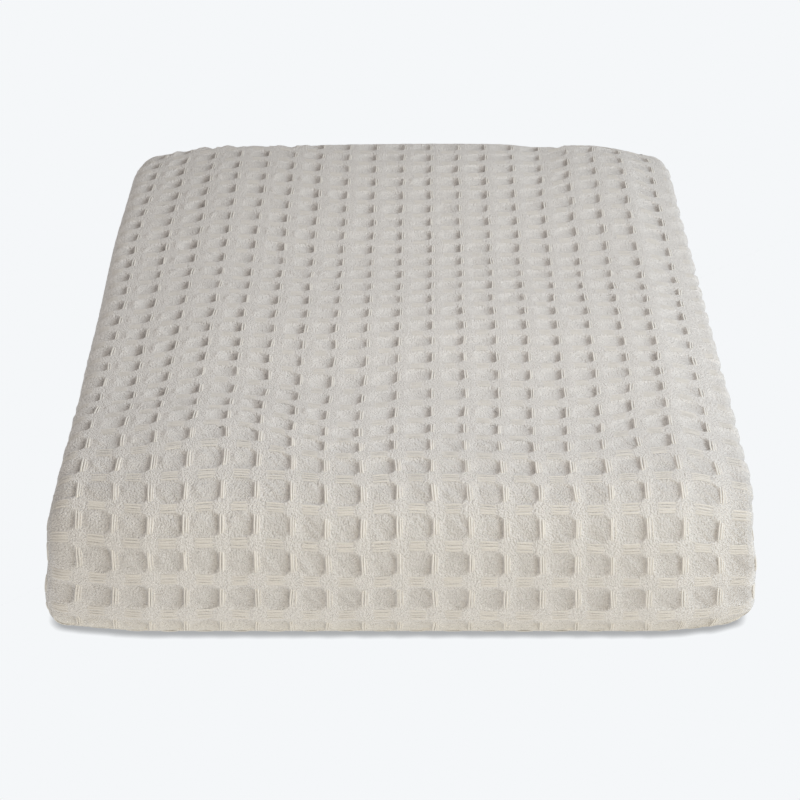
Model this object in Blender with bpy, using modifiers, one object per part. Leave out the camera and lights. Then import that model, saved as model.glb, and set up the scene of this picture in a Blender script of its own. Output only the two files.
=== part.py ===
"""A waffle weave cotton blanket, folded.

One panel of cloth. It is folded in four across its width, into a bundle of four layers.
That bundle is folded in four along its length: both ends come in to the middle, and then
the two halves close like a book. The book's spine is the rounded front of the stack.
Metres, +Z up. The front faces -Y, and the underside lies flat on z = 0.
"""

import math

import bmesh
import bpy
from mathutils import Vector

# Driving sizes, in metres.
STACK_WIDTH = 0.371
STACK_DEPTH = 0.526
CLOTH_THICKNESS = 0.003
LAYER_PITCH = 0.00565

# Derived sizes.
LAYERS_IN_BUNDLE = 4
LAYERS = 4 * LAYERS_IN_BUNDLE
HALF_CLOTH = CLOTH_THICKNESS / 2
STACK_HEIGHT = (LAYERS - 1) * LAYER_PITCH + CLOTH_THICKNESS
OUTER_OFFSET = 1.5 * LAYER_PITCH  # from a bundle's middle to its outer layer
INNER_OFFSET = 0.5 * LAYER_PITCH
BACK_RADIUS = 2 * LAYER_PITCH  # of a bundle's middle, where it turns at the back

# How far the free edges stop short of the fold that covers them, and where the ends lie.
SIDE_EDGE_GAP = 0.010
UPPER_END_GAP = 0.053  # behind the front of the stack
LOWER_END_GAP = 0.030
LOWER_FOLD_STEP = 0.004  # the lower back fold reaches past the upper one

# The rounded front, from the top down: the turn and the outer layer's radius there.
FRONT_TURNS = (
    # turn in degrees, outer radius, pieces
    (16, 0.140, 2),
    (60, 0.038, 5),
    (14, 0.100, 2),
)
FRONT_FOOT_RADIUS = 0.020
FRONT_FOOT_PIECES = 4

# Soft swells (up) and creases (down) of the top.
TOP_SWELLS = (
    # across, behind the front, half width across, half width along, height
    (-0.120, 0.085, 0.090, 0.030, 0.0030),  # swell on the left shoulder
    (-0.095, 0.135, 0.110, 0.020, -0.0026),  # crease across the left half
    (0.120, 0.095, 0.080, 0.032, -0.0018),  # dip in the right shoulder
    (0.020, 0.211, 0.190, 0.038, 0.0022),  # low crest across the middle
    (-0.020, 0.320, 0.190, 0.042, -0.0026),  # shallow trough behind it
    (0.030, 0.475, 0.150, 0.060, 0.0044),  # rise towards the back
    (0.096, 0.480, 0.016, 0.060, -0.0024),  # short lengthwise crease at the back
)

# How the stack departs from a straight one.
SPREAD_AT_FOOT = 0.034  # the lowest layers are wider by this share
CORNER_PULL = 0.007  # each corner is drawn in along by this much
BACK_CORNER_PULL = 0.005  # and the back ones across, too
CORNER_REACH_ACROSS = 0.055
CORNER_REACH_ALONG = 0.055
BACK_CORNER_DROOP = 0.005
LEFT_FOOT_TUCK = 0.002  # the sides draw in at the foot
RIGHT_FOOT_TUCK = 0.005
FOOT_TUCK_HEIGHT = 0.022
SIDE_SWELLS = (
    # side, behind the front, half width along, how far it stands out
    (-1, 0.350, 0.085, 0.0034),
    (-1, 0.020, 0.045, 0.0022),
    (1, 0.135, 0.060, 0.0014),
    (1, 0.010, 0.045, 0.0012),
)
SIDE_WANDER = 0.0006  # the folds at the sides don't line up exactly
SIDE_WANDER_HEIGHT = 0.037
SIDE_WANDER_LENGTH = 0.310
PRESSED_FLAT = 0.0001  # points of the underside this close to the lowest lie level

# How finely the sheet is divided. A run across has shorter pieces towards its ends.
RUN_SHARES = (0.04, 0.06, 0.14, 0.26, 0.26, 0.14, 0.06, 0.04)
BIG_FOLD_PIECES = 6
SMALL_FOLD_PIECES = 4
BACK_FOLD_PIECES = 5
TOP_RUN_PIECES = 14
SECOND_RUN_PIECES = 7
THIRD_RUN_PIECES = 5
BOTTOM_RUN_PIECES = 4

COTTON_COLOUR = (0.62, 0.59, 0.54, 1.0)
COTTON_ROUGHNESS = 0.9


def clear_scene():
    """Removes whatever the scene holds."""
    for item in list(bpy.data.objects):
        bpy.data.objects.remove(item, do_unlink=True)


def line(length, pieces):
    """A straight move along a path."""
    return (length, 0.0, pieces)


def graded_line(length):
    """A straight move in pieces that are shorter towards its ends."""
    return [line(length * share, 1) for share in RUN_SHARES]


def arc(radius, degrees, pieces):
    """A move that turns left along a circle."""
    turn = math.radians(degrees)
    return (radius * turn, turn, pieces)


def trace(start, heading, moves):
    """The stations of a path: each one's place and its unit normal to the right."""
    here = Vector(start)
    stations = [(here.copy(), right_of(heading))]
    for length, turn, pieces in moves:
        step = length / pieces
        step_turn = turn / pieces
        if turn:
            radius = length / turn
            step = 2 * radius * math.sin(step_turn / 2)
        for _ in range(pieces):
            chord_heading = heading + step_turn / 2
            here = here + step * Vector((math.cos(chord_heading), math.sin(chord_heading)))
            heading += step_turn
            stations.append((here.copy(), right_of(heading)))
    return stations


def right_of(heading):
    """The unit vector to the right of a heading."""
    return Vector((math.sin(heading), -math.cos(heading)))


def bundle_section():
    """The cloth across its width, as (across, offset from the bundle's middle).

    It starts at the free edge under the top layer, turns up at the right, crosses the
    top, turns down over the left side, crosses below, and turns in again at the right.
    """
    left = -STACK_WIDTH / 2 + OUTER_OFFSET + HALF_CLOTH
    right = STACK_WIDTH / 2 - INNER_OFFSET - HALF_CLOTH
    full_run = right - left
    edge_run = full_run - SIDE_EDGE_GAP
    moves = (
        *graded_line(edge_run),
        arc(INNER_OFFSET, 180, SMALL_FOLD_PIECES),
        *graded_line(full_run),
        arc(OUTER_OFFSET, 180, BIG_FOLD_PIECES),
        *graded_line(full_run),
        arc(INNER_OFFSET, 180, SMALL_FOLD_PIECES),
        *graded_line(edge_run),
    )
    start = (left + SIDE_EDGE_GAP, INNER_OFFSET)
    return [place for place, _ in trace(start, 0.0, moves)]


def front_moves():
    """The rounded front of the bundle's middle, from the top run down to the bottom run."""
    moves = []
    drop = 0.0
    facing = 0.0
    for degrees, outer_radius, pieces in FRONT_TURNS:
        turned = facing + math.radians(degrees)
        drop += (outer_radius - OUTER_OFFSET) * (math.cos(facing) - math.cos(turned))
        facing = turned
        moves.append(arc(outer_radius - OUTER_OFFSET, degrees, pieces))
    foot_radius = FRONT_FOOT_RADIUS - OUTER_OFFSET
    height = (LAYERS - LAYERS_IN_BUNDLE) * LAYER_PITCH
    moves.append(line(height - drop - foot_radius, 1))
    moves.append(arc(foot_radius, 90, FRONT_FOOT_PIECES))
    return moves


def front_depth():
    """How far the rounded front of the bundle's middle reaches forward of the top run."""
    depth = 0.0
    facing = 0.0
    for degrees, outer_radius, _ in FRONT_TURNS:
        turned = facing + math.radians(degrees)
        depth += (outer_radius - OUTER_OFFSET) * (math.sin(turned) - math.sin(facing))
        facing = turned
    return depth


def lengthwise_path():
    """The bundle's middle along its length, as stations in (behind the front, height)."""
    front_middle = OUTER_OFFSET + HALF_CLOTH
    back_turn = STACK_DEPTH - LOWER_FOLD_STEP - BACK_RADIUS - OUTER_OFFSET - HALF_CLOTH
    second_run = back_turn - UPPER_END_GAP
    third_run = back_turn + LOWER_FOLD_STEP - LOWER_END_GAP
    top_run = back_turn - front_middle - front_depth()
    foot_radius = FRONT_FOOT_RADIUS - OUTER_OFFSET
    bottom_run = back_turn + LOWER_FOLD_STEP - front_middle - foot_radius
    second_run_height = HALF_CLOTH + 9.5 * LAYER_PITCH
    moves = [
        line(second_run - top_run, 1),
        line(top_run, SECOND_RUN_PIECES),
        arc(BACK_RADIUS, 180, BACK_FOLD_PIECES),
        line(top_run, TOP_RUN_PIECES),
        *front_moves(),
        line(bottom_run, BOTTOM_RUN_PIECES),
        arc(BACK_RADIUS, 180, BACK_FOLD_PIECES),
        line(third_run, THIRD_RUN_PIECES),
    ]
    return trace((UPPER_END_GAP, second_run_height), 0.0, moves)


def smooth(share):
    """Eases from 0 to 1 as the share goes from 0 to 1."""
    share = min(max(share, 0.0), 1.0)
    return share * share * (3 - 2 * share)


def top_swell(across, along):
    """How far the top stands above its flat level there."""
    height = 0.0
    for centre_across, centre_along, reach_across, reach_along, swell in TOP_SWELLS:
        far = ((across - centre_across) / reach_across) ** 2
        far += ((along - centre_along) / reach_along) ** 2
        height += swell * math.exp(-far)
    return height


def side_swell(side, along):
    """How far that side stands out there."""
    return sum(
        swell * math.exp(-(((along - centre) / reach) ** 2))
        for swell_side, centre, reach, swell in SIDE_SWELLS
        if swell_side == side
    )


def settle(point):
    """Moves a point of the straight stack to where the soft cloth lies."""
    across, along, height = point
    level = (height - HALF_CLOTH) / (STACK_HEIGHT - CLOTH_THICKNESS)
    side = 1 if across > 0 else -1
    near_side = smooth(1 - (STACK_WIDTH / 2 - abs(across)) / CORNER_REACH_ACROSS)
    near_front = smooth(1 - along / CORNER_REACH_ALONG)
    near_back = smooth(1 - (STACK_DEPTH - along) / CORNER_REACH_ALONG)
    corner = near_side * max(near_front, near_back)
    end = 1 if near_front > near_back else -1
    foot_tuck = LEFT_FOOT_TUCK if side < 0 else RIGHT_FOOT_TUCK
    reach = side_swell(side, along) - BACK_CORNER_PULL * near_back
    reach -= foot_tuck * smooth(1 - height / FOOT_TUCK_HEIGHT)
    wander = math.sin(math.tau * (height / SIDE_WANDER_HEIGHT + along / SIDE_WANDER_LENGTH))
    rise = top_swell(across, along) - BACK_CORNER_DROOP * near_side * near_back
    return Vector((
        across * (1 + SPREAD_AT_FOOT * (1 - level))
        + near_side * (side * reach + SIDE_WANDER * wander),
        along + end * CORNER_PULL * corner,
        height + rise * level,
    ))


def centred(points):
    """The points moved so that their box has its middle over the origin."""
    middle_x = (min(p.x for p in points) + max(p.x for p in points)) / 2
    middle_y = (min(p.y for p in points) + max(p.y for p in points)) / 2
    return [Vector((p.x - middle_x, p.y - middle_y, p.z)) for p in points]


def folded_sheet_mesh(name):
    """The cloth's middle surface: a flat grid whose points are moved to the folded places."""
    section = bundle_section()
    path = lengthwise_path()
    columns = len(section) - 1
    rows = len(path) - 1
    sheet = bmesh.new()
    bmesh.ops.create_grid(sheet, x_segments=columns, y_segments=rows, size=1.0)
    places = []
    for vert in sheet.verts:
        column = round((vert.co.x + 1) / 2 * columns)
        row = round((vert.co.y + 1) / 2 * rows)
        across, offset = section[column]
        middle, outward = path[row]
        along, height = middle + outward * offset
        places.append(settle((across, along, height)))
    for vert, place in zip(sheet.verts, centred(places)):
        vert.co = place
    mesh = bpy.data.meshes.new(name)
    sheet.to_mesh(mesh)
    sheet.free()
    mesh.shade_smooth()
    return mesh


def cotton_material():
    """Undyed cotton, matt."""
    material = bpy.data.materials.new("cotton")
    material.use_nodes = True
    shader = material.node_tree.nodes["Principled BSDF"]
    shader.inputs["Base Color"].default_value = COTTON_COLOUR
    shader.inputs["Roughness"].default_value = COTTON_ROUGHNESS
    shader.inputs["Metallic"].default_value = 0.0
    return material


def press_flat(mesh):
    """Lays the lowest points level: the underside rests on a flat surface."""
    lowest = min(vertex.co.z for vertex in mesh.vertices)
    for vertex in mesh.vertices:
        if vertex.co.z - lowest < PRESSED_FLAT:
            vertex.co.z = 0.0


def thickened(blanket):
    """The sheet's mesh at the cloth's real thickness, as a modifier makes it."""
    thicken = blanket.modifiers.new("cloth thickness", "SOLIDIFY")
    thicken.thickness = CLOTH_THICKNESS
    thicken.offset = 0.0
    evaluated = blanket.evaluated_get(bpy.context.evaluated_depsgraph_get())
    mesh = bpy.data.meshes.new_from_object(evaluated)
    blanket.modifiers.remove(thicken)
    return mesh


def make_blanket(collection):
    """The folded cloth, lying flat on its underside."""
    blanket = bpy.data.objects.new("blanket", folded_sheet_mesh("cloth"))
    blanket.data.materials.append(cotton_material())
    collection.objects.link(blanket)
    blanket.data = thickened(blanket)
    press_flat(blanket.data)
    return blanket


def main():
    clear_scene()
    collection = bpy.data.collections.new("waffle_weave_blanket")
    bpy.context.scene.collection.children.link(collection)
    make_blanket(collection)


main()
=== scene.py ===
"""Looks of the folded waffle weave blanket: its weave, yarns, cotton, light and camera.

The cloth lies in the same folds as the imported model. Its outer face is divided finely
where it shows, and carries the waffle's relief: a hollow in each cell, a grid of ridges
between them, and the loose yarns that float along the ridges.
Metres, +Z up. The stack's rounded front faces -Y.
"""

import math

import bmesh
import bpy
import numpy as np
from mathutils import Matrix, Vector

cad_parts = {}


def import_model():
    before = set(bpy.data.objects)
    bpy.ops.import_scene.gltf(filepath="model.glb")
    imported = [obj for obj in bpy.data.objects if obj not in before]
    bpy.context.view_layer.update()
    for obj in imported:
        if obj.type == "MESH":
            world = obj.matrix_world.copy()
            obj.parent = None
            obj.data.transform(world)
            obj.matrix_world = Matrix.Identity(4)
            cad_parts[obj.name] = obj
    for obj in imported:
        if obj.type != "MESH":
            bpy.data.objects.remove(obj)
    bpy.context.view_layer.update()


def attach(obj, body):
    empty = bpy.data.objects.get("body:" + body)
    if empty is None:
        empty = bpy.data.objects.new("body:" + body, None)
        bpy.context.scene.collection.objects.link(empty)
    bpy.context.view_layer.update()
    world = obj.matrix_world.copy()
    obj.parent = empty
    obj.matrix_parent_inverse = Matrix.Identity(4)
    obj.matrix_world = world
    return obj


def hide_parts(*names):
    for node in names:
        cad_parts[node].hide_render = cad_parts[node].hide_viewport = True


# The folded stack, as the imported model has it.
STACK_WIDTH = 0.371
STACK_DEPTH = 0.526
CLOTH_THICKNESS = 0.003
LAYER_PITCH = 0.00565
LAYERS_IN_BUNDLE = 4
LAYERS = 4 * LAYERS_IN_BUNDLE
THIRD_BUNDLE_LEVEL = 2 * LAYERS_IN_BUNDLE + 1.5  # its middle, in layers from the lowest one
HALF_CLOTH = CLOTH_THICKNESS / 2
STACK_HEIGHT = (LAYERS - 1) * LAYER_PITCH + CLOTH_THICKNESS
OUTER_OFFSET = 1.5 * LAYER_PITCH  # from a bundle's middle to its outer layer
INNER_OFFSET = 0.5 * LAYER_PITCH
BACK_RADIUS = 2 * LAYER_PITCH  # of a bundle's middle, where it turns at the back
SIDE_EDGE_GAP = 0.010
UPPER_END_GAP = 0.053  # behind the front of the stack
LOWER_END_GAP = 0.030
LOWER_FOLD_STEP = 0.004  # the lower back fold reaches past the upper one
FRONT_TURNS = (
    # turn in degrees, outer radius
    (16, 0.140),
    (60, 0.038),
    (14, 0.100),
)
FRONT_FOOT_RADIUS = 0.020
TOP_SWELLS = (
    # across, behind the front, half width across, half width along, height
    (-0.120, 0.085, 0.090, 0.030, 0.0030),
    (-0.095, 0.135, 0.110, 0.020, -0.0026),
    (0.120, 0.095, 0.080, 0.032, -0.0018),
    (0.020, 0.211, 0.190, 0.038, 0.0022),
    (-0.020, 0.320, 0.190, 0.042, -0.0026),
    (0.030, 0.475, 0.150, 0.060, 0.0044),
    (0.096, 0.480, 0.016, 0.060, -0.0024),
)
SPREAD_AT_FOOT = 0.034  # the lowest layers are wider by this share
CORNER_PULL = 0.007  # each corner is drawn in along by this much
BACK_CORNER_PULL = 0.005  # and the back ones across, too
CORNER_REACH_ACROSS = 0.055
CORNER_REACH_ALONG = 0.055
BACK_CORNER_DROOP = 0.005
SIDE_SWELLS = (
    # side, behind the front, half width along, how far it stands out
    (-1, 0.350, 0.085, 0.0034),
    (-1, 0.020, 0.045, 0.0022),
    (1, 0.135, 0.060, 0.0014),
    (1, 0.010, 0.045, 0.0012),
)
SIDE_WANDER = 0.0006  # the folds at the sides don't line up exactly
SIDE_WANDER_HEIGHT = 0.037
SIDE_WANDER_LENGTH = 0.310

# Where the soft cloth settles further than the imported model.
RIGHT_FOOT_TUCK = 0.0075  # the right side draws in at the foot
FOOT_TUCK_HEIGHT = 0.022
LEFT_FOOT_PULL = 0.002  # the front's bottom corners lie this much further back
RIGHT_FOOT_PULL = 0.006
FOOT_PULL_REACH = 0.020
FOOT_PULL_HEIGHT = 0.060
RIGHT_DROOP = 0.0055  # the top's side edges sink by this much
RIGHT_DROOP_REACH = 0.036
LEFT_DROOP = 0.0042
LEFT_DROOP_REACH = 0.075
RIGHT_SPREAD = 0.0030  # and the right one moves out by this much
BOX_SAMPLES_ACROSS = 500
BOX_SAMPLES_ALONG = 1500

# The weave's cells.
CELL_ACROSS = 0.01883
CELL_ALONG = 0.0206
MIDDLE_CELL = 9.958  # cells from the ridge nearest the right edge to the front's middle
FIRST_ROW_HEIGHT = 0.0300  # the middle of the lowest whole row on the front
TOP_SPREADS = 0.008  # cells are wider on the top by this share
FOOT_CONVERGES = 0.0117  # and narrower at the foot of the front
FOOT_ROWS = 3.5  # the front's rows over which they narrow
WANDER = 0.0005  # how far the ridges wander from straight
WANDER_REPEAT = 64  # cells before they wander alike
BACK_DRIFT = 0.0042  # the ridges lie this much further right at the back
COLUMN_WAVES = (
    # columns right of the middle, rows behind the front's lowest, reach of each, cells to the right
    (-1.5, 6.5, 1.6, 3.0, -0.14),
    (3.5, 5.0, 4.0, 1.8, -0.09),
    (-7.0, 7.0, 0.8, 4.0, -0.08),
)
ROW_WAVES = (
    # columns right of the middle, rows behind the front's lowest, reach of each, cells forward
    (-5.3, 7.0, 1.7, 3.5, -0.45),
    (-1.8, 6.5, 1.5, 4.0, 0.42),
    (7.6, 7.0, 2.0, 2.2, -0.75),
    (-6.0, 24.0, 3.2, 7.0, -0.80),
    (7.2, 24.0, 2.3, 4.5, -1.00),
    (-3.7, 14.0, 2.0, 8.0, 0.22),
    (-6.1, 3.0, 2.5, 1.8, 0.14),
    (-2.2, 4.6, 2.0, 1.0, -0.15),
    (7.9, 4.8, 1.7, 1.8, -0.16),
    (8.5, 16.0, 1.5, 3.0, 0.30),
    (-2.4, 3.7, 2.0, 0.8, -0.12),
    (7.5, 3.2, 1.7, 0.9, -0.08),
    (-8.0, 7.0, 1.6, 2.0, -0.22),
    (-8.5, 12.0, 1.6, 3.0, 0.15),
    (5.5, 17.0, 1.5, 2.5, 0.20),
    (7.0, 8.0, 1.5, 2.5, 0.15),
    (-6.5, 2.8, 2.2, 0.8, 0.09),
    (-5.2, 4.6, 1.2, 0.8, -0.12),
    (8.8, 5.2, 1.2, 1.2, -0.13),
    (-0.4, 14.0, 1.6, 3.0, 0.12),
    (7.0, 20.0, 1.6, 2.5, -0.18),
    (-0.8, 6.2, 2.2, 0.9, 0.10),
    (4.8, 6.2, 2.0, 0.9, 0.08),
    (-8.2, 9.5, 1.2, 1.6, 0.14),
    (7.2, 2.6, 1.4, 0.8, -0.07),
    (-1.5, 20.0, 2.5, 4.0, 0.10),
)
CELLS_HALF_ACROSS = 10.5  # past these the rows and columns shift no further
TILT_CELLS = 10
ROW_TILTS = (
    # rows behind the front's lowest, how far a row climbs in that many cells to the right
    (-4.0, 0.0),
    (0.0, -0.06),
    (2.0, -0.24),
    (7.0, -0.24),
    (10.5, 0.10),
    (14.0, 0.10),
    (17.0, -0.05),
    (21.5, 0.12),
    (25.0, 0.10),
    (29.0, 0.0),
)
ROW_SLIPS = (
    # rows behind the front's lowest, how many cells further forward the row lies
    (1.0, 0.0),
    (3.0, 0.12),
    (7.0, 0.23),
    (9.0, 0.06),
    (12.0, 0.09),
    (14.5, 0.0),
    (17.0, 0.05),
    (20.0, 0.22),
    (23.0, 0.23),
    (26.0, 0.30),
)

# Relief above and below the cloth's middle surface.
RIDGE_HEIGHT = 0.0020
BACK_FACE = 0.0020
FLOAT_SADDLE = 0.0002  # a ridge sinks this much under its loose yarns
FLOAT_CORE = 0.35  # of half a cell: how far they lie either way from the middle of its run
FLOAT_FADE = 0.4
HOLLOW_HALF_ACROSS = 0.43  # of a cell
HOLLOW_HALF_ALONG = 0.375
HOLLOW_SQUARENESS = 3.2
STEEP_EDGE = 0.86  # a hollow's floor ends at this share of its half size on its right
SOFT_EDGE = 0.42  # and at this share on its left
FLOOR_DEPTHS = (
    # rows behind the front's lowest, how far the whole hollow lies below the ridges
    (3.0, 0.0012),
    (6.0, 0.0010),
)
POCKET_DEPTHS = (
    # columns left of the right edge, how much further it sinks against the ridge on its right
    (12.0, 0.0014),
    (18.0, 0.0028),
)
FRONT_POCKETS = (
    # rows behind the front's lowest, share of that depth
    (3.5, 0.3),
    (6.0, 1.0),
)
POCKET_REACH = 0.72  # of a cell, leftwards
POCKET_POWER = 1.4  # above one, a pocket is deepest close to the ridge
POCKET_HALF_ALONG = 0.41
POCKET_CORE = 0.42  # share of that where the pocket has its full depth
DOMES = (
    # columns left of the right edge, how far a hollow's floor swells up
    (11.0, 0.0003),
    (17.0, 0.0014),
)
DOME_MIDDLE = (0.26, -0.06)  # of a cell, leftwards and down the front
SIZE_SPREAD = 0.02  # how uneven the cells are, as shares of their size and depths
DEPTH_SPREAD = 0.15
POCKET_SPREAD = 0.35
HOLLOW_TILT = 0.0004  # how far a floor leans from a cell's middle to its edge
WRINKLE = 0.0009
WRINKLES_IN_CELL = 3.1  # counted across them; they run down to the right
WRINKLE_SHARE_ALONG = 0.3
WRINKLE_REPEAT = 256
CELL_SHAPES = 128  # cells before their shapes repeat

# Loose yarns on the ridges: where each lies from the ridge's middle, and how much higher or lower.
DOWN_YARNS = (
    # leftwards, up
    (-0.0014, -0.0003),
    (-0.0001, 0.0),
    (0.0011, 0.0001),
)
ACROSS_YARNS = (
    # forwards, up
    (-0.0023, 0.0),
    (-0.0008, 0.0),
    (0.0007, 0.0),
    (0.0022, 0.0),
)
DOWN_YARN = (0.0067, 0.00064, 0.00042)  # half its length, width and height
ACROSS_YARN = (0.0056, 0.00066, 0.00036)
ACROSS_ROUNDNESS = 0.9  # how far a crosswise yarn's shading turns to its sides
PALE_TONES = (0.6, 1.0)  # the lengthwise yarns' colours, from deep to pale
DEEP_TONES = (0.0, 0.45)  # and the crosswise ones'
YARN_RISES = (
    # rows behind the front's lowest, share of the yarns' height
    (4.0, 1.0),
    (8.0, 0.25),
)
YARN_LIFT = 0.00012  # a yarn's middle bows up by this much
YARN_DIP = 0.0006  # its ends dip into the cloth by this much
YARN_TIP_DIP = 1.6 * YARN_DIP
YARN_SWAY = 0.00015  # and it bows sideways
YARN_LEAN = 0.6  # of that, how far its ends lie aside
YARN_LENGTH_SPREAD = 0.06
YARN_GIRTH_SPREAD = 0.12
YARN_TAPER = 0.8  # how much of its section is lost at its ends

# Grid lines in each cell, as shares of it from one ridge to the next.
LINES_ACROSS = (0.0, 0.065, 0.09, 0.12, 0.155, 0.22, 0.31, 0.42, 0.55, 0.68, 0.80, 0.87, 0.93)
LINES_ALONG = (0.0, 0.09, 0.135, 0.165, 0.2, 0.29, 0.4, 0.5, 0.6, 0.71, 0.8, 0.835, 0.865, 0.91)
FRONT_LINES_ACROSS = (
    0.0, 0.045, 0.07, 0.085, 0.10, 0.12, 0.145, 0.18, 0.22, 0.28, 0.34,
    0.41, 0.48, 0.55, 0.62, 0.69, 0.76, 0.82, 0.86, 0.895, 0.93, 0.965,
)
FRONT_LINES_ALONG = (
    0.0, 0.07, 0.115, 0.14, 0.165, 0.19, 0.235, 0.295, 0.36, 0.43,
    0.5, 0.57, 0.64, 0.705, 0.765, 0.81, 0.835, 0.86, 0.885, 0.93,
)
SMALL_FOLD_GAP = 0.1  # of a cell, between grid lines around the small folds
NEAREST_LINE = 0.35  # of the closest two lines' gap: none lies nearer to the end of a band
SIDE_MARGIN = 0.26  # of a cell: how far the bands at the sides reach past their folds
END_MARGIN = 0.3  # and those at the front and back
NORMAL_STEP = 0.02  # of a cell, for slopes

# Cotton: linear colours of the palest and the deepest cloth and yarns, and of both near the floor, in
# painted warm bounce light.
PALE_CLOTH = (0.74, 0.7085, 0.680, 1)
DEEP_CLOTH = (0.50, 0.470, 0.446, 1)
PAINTED_BOUNCE_CLOTH = (0.68, 0.63, 0.55, 1)
PALE_YARN = (0.71, 0.67, 0.62, 1)
DEEP_YARN = (0.60, 0.565, 0.525, 1)
PAINTED_BOUNCE_YARN = (0.68, 0.63, 0.55, 1)
# painted warm bounce light from the floor fades over this height
PAINTED_BOUNCE_HEIGHT = 0.022
RIDGE_TONE = 0.67  # from deep to pale
GAP_PAINTED_SHADE = (
    # rows behind the front's lowest, how much painted shade darkens the cloth between the crosswise
    # yarns
    (0.5, 0.0),
    (1.5, 0.30),
    (3.5, 0.30),
    (6.0, 0.0),
)
HOLLOW_PAINTED_SHADE_AND_LIGHT = (
    # rows behind the front's lowest, tone: darker than the ridges' as painted shade on the front, paler
    # as painted light on the top
    (3.0, 0.50),
    (6.0, 0.99),
)
POCKET_PAINTED_SHADE = (
    # rows behind the front's lowest, how much darker than the rest of a hollow, as painted shade
    (3.0, 0.21),
    (6.5, 0.63),
)
POCKET_PAINTED_SHADE_SHARES = (
    # columns left of the right edge, share of that
    (12.0, 1.0),
    (17.0, 1.45),
)
SHADE = 0.45  # how much of that painted shade spreads over the whole hollow
SHADE_ACROSS = 1.1  # how fast it grows in a cell, rightwards
SHADE_DOWN = 0.6  # and down the front
SHADE_MIDDLE = 0.5
CLOTH_GRAIN = 0.0008  # height of the threads' grain
CLOTH_SPECKLE = 0.065  # how far the colour varies with it
YARN_GRAIN = 0.00012
YARN_SPECKLE = 0.02
GRAIN_SCALE = 900.0  # per metre
GRAIN_DETAIL = 2.0
THREAD_PITCH = 0.0011
THREAD_SHARE = -0.6  # of the threads' bumps in the grain, as they are low in the middle
BLOTCH = 0.02  # how far the colour varies in soft blotches
BLOTCH_SCALE = 200.0
BLOTCH_DETAIL = 3.0
NOISE_LOW = 0.3  # most values of a noise lie between these
NOISE_HIGH = 0.7
ROUGHNESS = 0.9
SPECULAR = 0.25
SHEEN = 0.2
SHEEN_ROUGHNESS = 0.5
YARN_UV_STEP = 0.031  # so that no two yarns look alike

# The studio: a floor that glows like white paper, soft boxes, and the camera.
FLOOR_HALF = 40.0
FLOOR_COLOUR = (0.913, 0.930, 0.947)
CONTACT_SHADOW_REACH = 0.0050
CONTACT_SHADOW_SAMPLES = 16
CONTACT_SHADOW = {"From_Min": 0.25, "From_Max": 0.9, "To_Min": 0.45, "To_Max": 1.0}
LIGHTS = {
    # place, aim, size, watts, colour
    "key": ((1.25, -0.42, 0.75), (0.0, 0.0, 0.05), (0.9, 0.8), 12.2, (0.82, 0.93, 1.0)),
    "top": ((0.09, -0.14, 0.55), (0.09, -0.14, 0.0), (0.6, 0.7), 1.42, (1.0, 0.98, 0.94)),
    "low_fill": ((0.15, -1.1, 0.10), (0.08, -0.25, 0.03), (1.3, 0.2), 3.0, (1.0, 0.92, 0.70)),
}
WORLD_COLOUR = (1.0, 0.958, 0.925, 1)
WORLD_STRENGTH = 0.412
CAMERA_PLACE = (-0.001, -1.365, 0.7233)
CAMERA_DOWN = 27.5  # degrees below level
CAMERA_LENS = 109.1  # on film as wide as CAMERA_FILM, in millimetres
CAMERA_FILM = 36.0

SEED = 20


class Route:
    """A path of straight lines and left-hand arcs, looked up by a distance along it.

    The distance may be measured on a line that lies outside the path by some offset.
    """

    def __init__(self, start, heading, moves, measured_at=0.0):
        self.lengths = np.array([length for length, _ in moves])
        self.turns = np.array([turn for _, turn in moves])
        self.measures = self.lengths + self.turns * measured_at
        self.ends = np.cumsum(self.measures)
        self.total = float(self.ends[-1])
        here = np.array(start, float)
        places = []
        headings = []
        for length, turn in moves:
            places.append(here.copy())
            headings.append(heading)
            if turn:
                radius = length / turn
                ahead = heading + turn
                here += radius * np.array((
                    math.sin(ahead) - math.sin(heading),
                    math.cos(heading) - math.cos(ahead),
                ))
                heading = ahead
            else:
                here += length * np.array((math.cos(heading), math.sin(heading)))
        self.places = np.array(places)
        self.headings = np.array(headings)

    def at(self, distance):
        """Place and heading there, for an array of distances. It goes straight on past the ends."""
        move = np.clip(np.searchsorted(self.ends, distance), 0, len(self.ends) - 1)
        share = (distance - (self.ends - self.measures)[move]) / self.measures[move]
        turn = self.turns[move]
        heading = self.headings[move]
        ahead = heading + share * turn
        bends = turn > 0
        radius = np.where(bends, self.lengths[move] / np.where(bends, turn, 1.0), 0.0)
        straight = np.where(bends, 0.0, share * self.lengths[move])
        x = self.places[move, 0] + radius * (np.sin(ahead) - np.sin(heading))
        y = self.places[move, 1] + radius * (np.cos(heading) - np.cos(ahead))
        x = x + straight * np.cos(heading)
        y = y + straight * np.sin(heading)
        return x, y, ahead

    def start_of(self, move):
        """The distance at which a move starts."""
        return float(self.ends[move] - self.measures[move])


def line(length):
    """A straight move."""
    return (length, 0.0)


def arc(radius, degrees):
    """A left-hand move round an arc."""
    turn = math.radians(degrees)
    return (radius * turn, turn)


def smooth(share):
    """Eases a share from none to one."""
    share = np.clip(share, 0.0, 1.0)
    return share * share * (3 - 2 * share)


def bundle_section():
    """The cloth across its width: across, and offset from the bundle's middle."""
    left = -STACK_WIDTH / 2 + OUTER_OFFSET + HALF_CLOTH
    right = STACK_WIDTH / 2 - INNER_OFFSET - HALF_CLOTH
    full_run = right - left
    edge_run = full_run - SIDE_EDGE_GAP
    moves = (
        line(edge_run),
        arc(INNER_OFFSET, 180),
        line(full_run),
        arc(OUTER_OFFSET, 180),
        line(full_run),
        arc(INNER_OFFSET, 180),
        line(edge_run),
    )
    return Route((left + SIDE_EDGE_GAP, INNER_OFFSET), 0.0, moves)


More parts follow.
